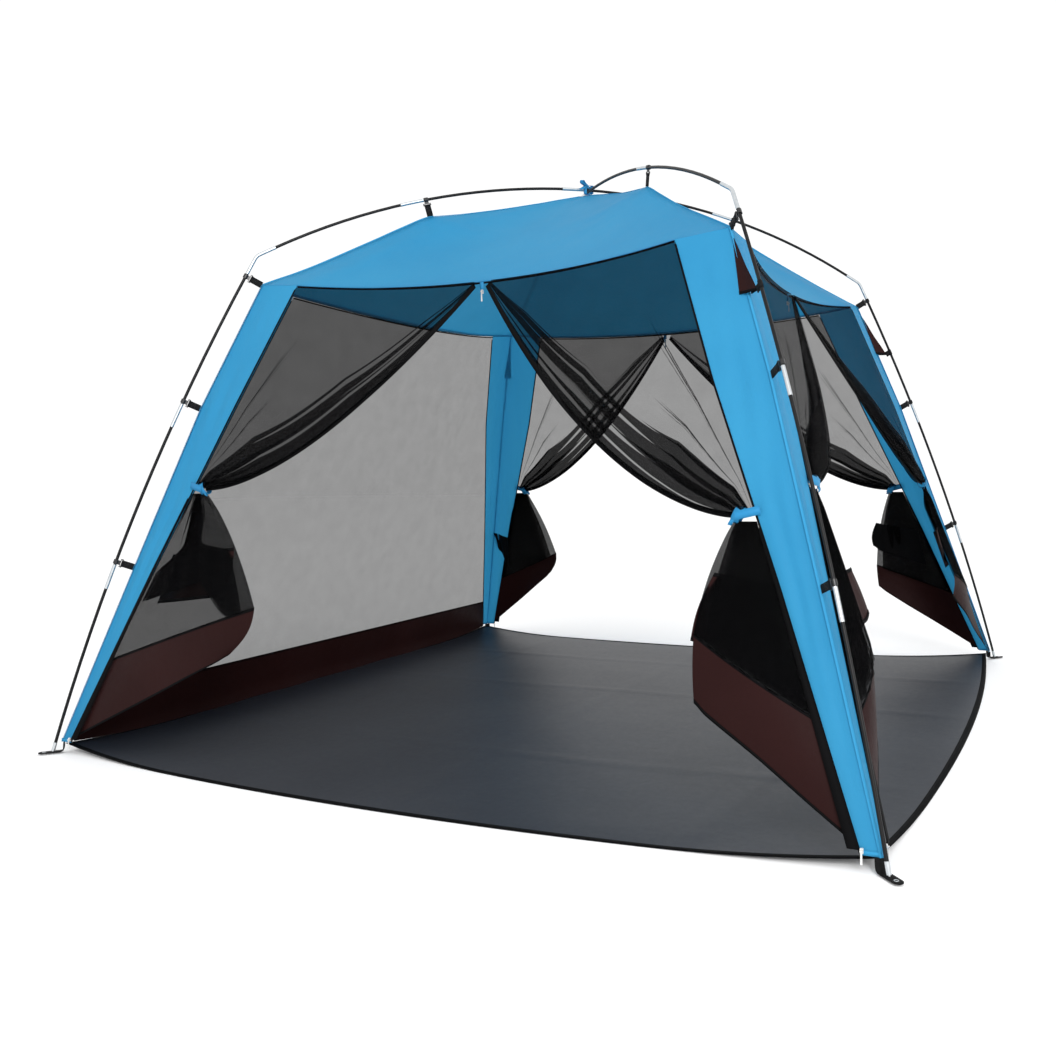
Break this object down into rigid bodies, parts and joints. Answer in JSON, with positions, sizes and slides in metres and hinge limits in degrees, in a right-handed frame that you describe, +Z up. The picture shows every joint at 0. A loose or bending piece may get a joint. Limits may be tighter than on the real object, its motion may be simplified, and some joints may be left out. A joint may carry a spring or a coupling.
{
  "type": "pop up gazebo",
  "caption": "Screen gazebo: two crossed sectional poles with pre-bent elbows hang a canopy, leg covers, tied-back mesh doors and a sewn-in groundsheet from webbing clips.",
  "frame": {"origin": "middle of the floor, on the ground plane under the crossing of the poles", "axes": "+Z up; -Y is the front, the doorway seen nearest the viewer; +X is to the right as seen from the front"},
  "size_m": [3.0738, 3.1079, 2.2015],
  "materials": {
    "fibreglass": "black pultruded fibreglass, satin",
    "zinc_steel": "drawn steel tube, zinc plated",
    "elastic": "braided elastic cord",
    "clip_plastic": "black moulded plastic",
    "webbing": "black woven webbing",
    "blue_polyester": "coated woven polyester",
    "insect_mesh": "fine black insect mesh, open weave",
    "brown_polyester": "dark brown woven polyester",
    "groundsheet_pe": "coated woven polyethylene",
    "blue_ribbon": "blue woven ribbon",
    "zip_metal": "painted die-cast zinc",
    "black_binding": "black bias binding"
  },
  "bodies": {
    "tent": {"crown_ribbon": "blue_ribbon", "door_mesh_back_left": "insect_mesh", "door_mesh_back_right": "insect_mesh", "door_mesh_front_left": "insect_mesh", "door_mesh_front_right": "insect_mesh", "door_mesh_right_back": "insect_mesh", "door_mesh_right_front": "insect_mesh", "door_ties": "blue_ribbon", "eave_piping": "black_binding", "ferrules": "zinc_steel", "foot_caps": "zinc_steel", "foot_pins": "zinc_steel", "foot_webbing": "webbing", "groundsheet": "groundsheet_pe", "hood_loops": "webbing", "leg_cover_back_left": "blue_polyester", "leg_cover_back_right": "blue_polyester", "leg_cover_front_left": "blue_polyester", "leg_cover_front_right": "blue_polyester", "leg_rods_back_left": "fibreglass", "leg_rods_back_right": "fibreglass", "leg_rods_front_left": "fibreglass", "leg_rods_front_right": "fibreglass", "mesh_wall_left": "insect_mesh", "mud_flaps_back": "brown_polyester", "mud_flaps_front": "brown_polyester", "mud_flaps_right": "brown_polyester", "roof_canopy": "blue_polyester", "roof_rods_over": "fibreglass", "roof_rods_under": "fibreglass", "shock_cords": "elastic", "shoulder_elbows": "zinc_steel", "strap_webbing": "webbing", "vent_hoods": "brown_polyester", "wall_skirt_left": "brown_polyester", "zip_sliders": "zip_metal", "zip_tabs": "blue_ribbon"},
    "clip_front_left_lower": {"pole_clip_front_left_lower": "clip_plastic"},
    "clip_front_left_upper": {"pole_clip_front_left_upper": "clip_plastic"},
    "clip_front_left_shoulder": {"pole_clip_front_left_shoulder": "clip_plastic"},
    "clip_front_left_roof": {"pole_clip_front_left_roof": "clip_plastic"},
    "clip_back_right_lower": {"pole_clip_back_right_lower": "clip_plastic"},
    "clip_back_right_upper": {"pole_clip_back_right_upper": "clip_plastic"},
    "clip_back_right_shoulder": {"pole_clip_back_right_shoulder": "clip_plastic"},
    "clip_back_right_roof": {"pole_clip_back_right_roof": "clip_plastic"},
    "clip_back_left_lower": {"pole_clip_back_left_lower": "clip_plastic"},
    "clip_back_left_upper": {"pole_clip_back_left_upper": "clip_plastic"},
    "clip_back_left_shoulder": {"pole_clip_back_left_shoulder": "clip_plastic"},
    "clip_back_left_roof": {"pole_clip_back_left_roof": "clip_plastic"},
    "clip_front_right_lower": {"pole_clip_front_right_lower": "clip_plastic"},
    "clip_front_right_upper": {"pole_clip_front_right_upper": "clip_plastic"},
    "clip_front_right_shoulder": {"pole_clip_front_right_shoulder": "clip_plastic"},
    "clip_front_right_roof": {"pole_clip_front_right_roof": "clip_plastic"},
    "pull_top_front": {"zip_pull_top_front": "zip_metal"},
    "pull_top_right": {"zip_pull_top_right": "zip_metal"},
    "pull_top_back": {"zip_pull_top_back": "zip_metal"},
    "pull_foot_front_right": {"zip_pull_foot_front_right": "zip_metal"},
    "pull_foot_front_left": {"zip_pull_foot_front_left": "zip_metal"},
    "pull_foot_right_front": {"zip_pull_foot_right_front": "zip_metal"},
    "pull_foot_back_left": {"zip_pull_foot_back_left": "zip_metal"}
  },
  "joints": [
    {"name": "clip_front_left_lower_swing", "type": "hinge", "parent": "tent", "child": "clip_front_left_lower", "pos_m": [-1.31188, -1.31188, 0.68657], "axis": [0.2615, 0.2615, 0.9291], "range_deg": [0, 90]},
    {"name": "clip_front_left_upper_swing", "type": "hinge", "parent": "tent", "child": "clip_front_left_upper", "pos_m": [-1.12987, -1.12987, 1.27519], "axis": [0.3048, 0.3048, 0.9023], "range_deg": [0, 90]},
    {"name": "clip_front_left_shoulder_swing", "type": "hinge", "parent": "tent", "child": "clip_front_left_shoulder", "pos_m": [-0.95993, -0.95993, 1.74465], "axis": [0.3394, 0.3394, 0.8773], "range_deg": [0, 90]},
    {"name": "clip_front_left_roof_swing", "type": "hinge", "parent": "tent", "child": "clip_front_left_roof", "pos_m": [-0.47839, -0.47839, 2.06378], "axis": [0.686, 0.686, 0.2428], "range_deg": [0, 90]},
    {"name": "clip_back_right_lower_swing", "type": "hinge", "parent": "tent", "child": "clip_back_right_lower", "pos_m": [1.31188, 1.31188, 0.68657], "axis": [-0.2615, -0.2615, 0.9291], "range_deg": [0, 90]},
    {"name": "clip_back_right_upper_swing", "type": "hinge", "parent": "tent", "child": "clip_back_right_upper", "pos_m": [1.12987, 1.12987, 1.27519], "axis": [-0.3048, -0.3048, 0.9023], "range_deg": [0, 90]},
    {"name": "clip_back_right_shoulder_swing", "type": "hinge", "parent": "tent", "child": "clip_back_right_shoulder", "pos_m": [0.95993, 0.95993, 1.74465], "axis": [-0.3394, -0.3394, 0.8773], "range_deg": [0, 90]},
    {"name": "clip_back_right_roof_swing", "type": "hinge", "parent": "tent", "child": "clip_back_right_roof", "pos_m": [0.47839, 0.47839, 2.06378], "axis": [-0.686, -0.686, 0.2428], "range_deg": [0, 90]},
    {"name": "clip_back_left_lower_swing", "type": "hinge", "parent": "tent", "child": "clip_back_left_lower", "pos_m": [-1.31698, 1.31698, 0.68911], "axis": [0.2586, -0.2586, 0.9307], "range_deg": [0, 90]},
    {"name": "clip_back_left_upper_swing", "type": "hinge", "parent": "tent", "child": "clip_back_left_upper", "pos_m": [-1.13466, 1.13466, 1.27725], "axis": [0.3088, -0.3088, 0.8996], "range_deg": [0, 90]},
    {"name": "clip_back_left_shoulder_swing", "type": "hinge", "parent": "tent", "child": "clip_back_left_shoulder", "pos_m": [-0.96087, 0.96087, 1.74503], "axis": [0.3487, -0.3487, 0.87], "range_deg": [0, 90]},
    {"name": "clip_back_left_roof_swing", "type": "hinge", "parent": "tent", "child": "clip_back_left_roof", "pos_m": [-0.4763, 0.4763, 2.05577], "axis": [0.6874, -0.6874, 0.2345], "range_deg": [0, 90]},
    {"name": "clip_front_right_lower_swing", "type": "hinge", "parent": "tent", "child": "clip_front_right_lower", "pos_m": [1.31698, -1.31698, 0.68911], "axis": [-0.2586, 0.2586, 0.9307], "range_deg": [0, 90]},
    {"name": "clip_front_right_upper_swing", "type": "hinge", "parent": "tent", "child": "clip_front_right_upper", "pos_m": [1.13466, -1.13466, 1.27725], "axis": [-0.3088, 0.3088, 0.8996], "range_deg": [0, 90]},
    {"name": "clip_front_right_shoulder_swing", "type": "hinge", "parent": "tent", "child": "clip_front_right_shoulder", "pos_m": [0.96087, -0.96087, 1.74503], "axis": [-0.3487, 0.3487, 0.87], "range_deg": [0, 90]},
    {"name": "clip_front_right_roof_swing", "type": "hinge", "parent": "tent", "child": "clip_front_right_roof", "pos_m": [0.4763, -0.4763, 2.05577], "axis": [-0.6874, 0.6874, 0.2345], "range_deg": [0, 90]},
    {"name": "pull_top_front_swing", "type": "hinge", "parent": "tent", "child": "pull_top_front", "pos_m": [0, -0.86076, 1.62597], "axis": [1, 0, 0], "range_deg": [-120, 0]},
    {"name": "pull_top_right_swing", "type": "hinge", "parent": "tent", "child": "pull_top_right", "pos_m": [0.86076, 0, 1.62597], "axis": [0, 1, 0], "range_deg": [-120, 0]},
    {"name": "pull_top_back_swing", "type": "hinge", "parent": "tent", "child": "pull_top_back", "pos_m": [0, 0.86076, 1.62597], "axis": [-1, 0, 0], "range_deg": [-120, 0]},
    {"name": "pull_foot_front_right_swing", "type": "hinge", "parent": "tent", "child": "pull_foot_front_right", "pos_m": [1.42907, -1.48504, 0.054], "axis": [1, 0, 0], "range_deg": [-120, 0]},
    {"name": "pull_foot_front_left_swing", "type": "hinge", "parent": "tent", "child": "pull_foot_front_left", "pos_m": [-1.42907, -1.48504, 0.054], "axis": [1, 0, 0], "range_deg": [-120, 0]},
    {"name": "pull_foot_right_front_swing", "type": "hinge", "parent": "tent", "child": "pull_foot_right_front", "pos_m": [1.48504, -1.42907, 0.054], "axis": [0, 1, 0], "range_deg": [-120, 0]},
    {"name": "pull_foot_back_left_swing", "type": "hinge", "parent": "tent", "child": "pull_foot_back_left", "pos_m": [-1.42907, 1.48504, 0.054], "axis": [-1, 0, 0], "range_deg": [-120, 0]}
  ]
}
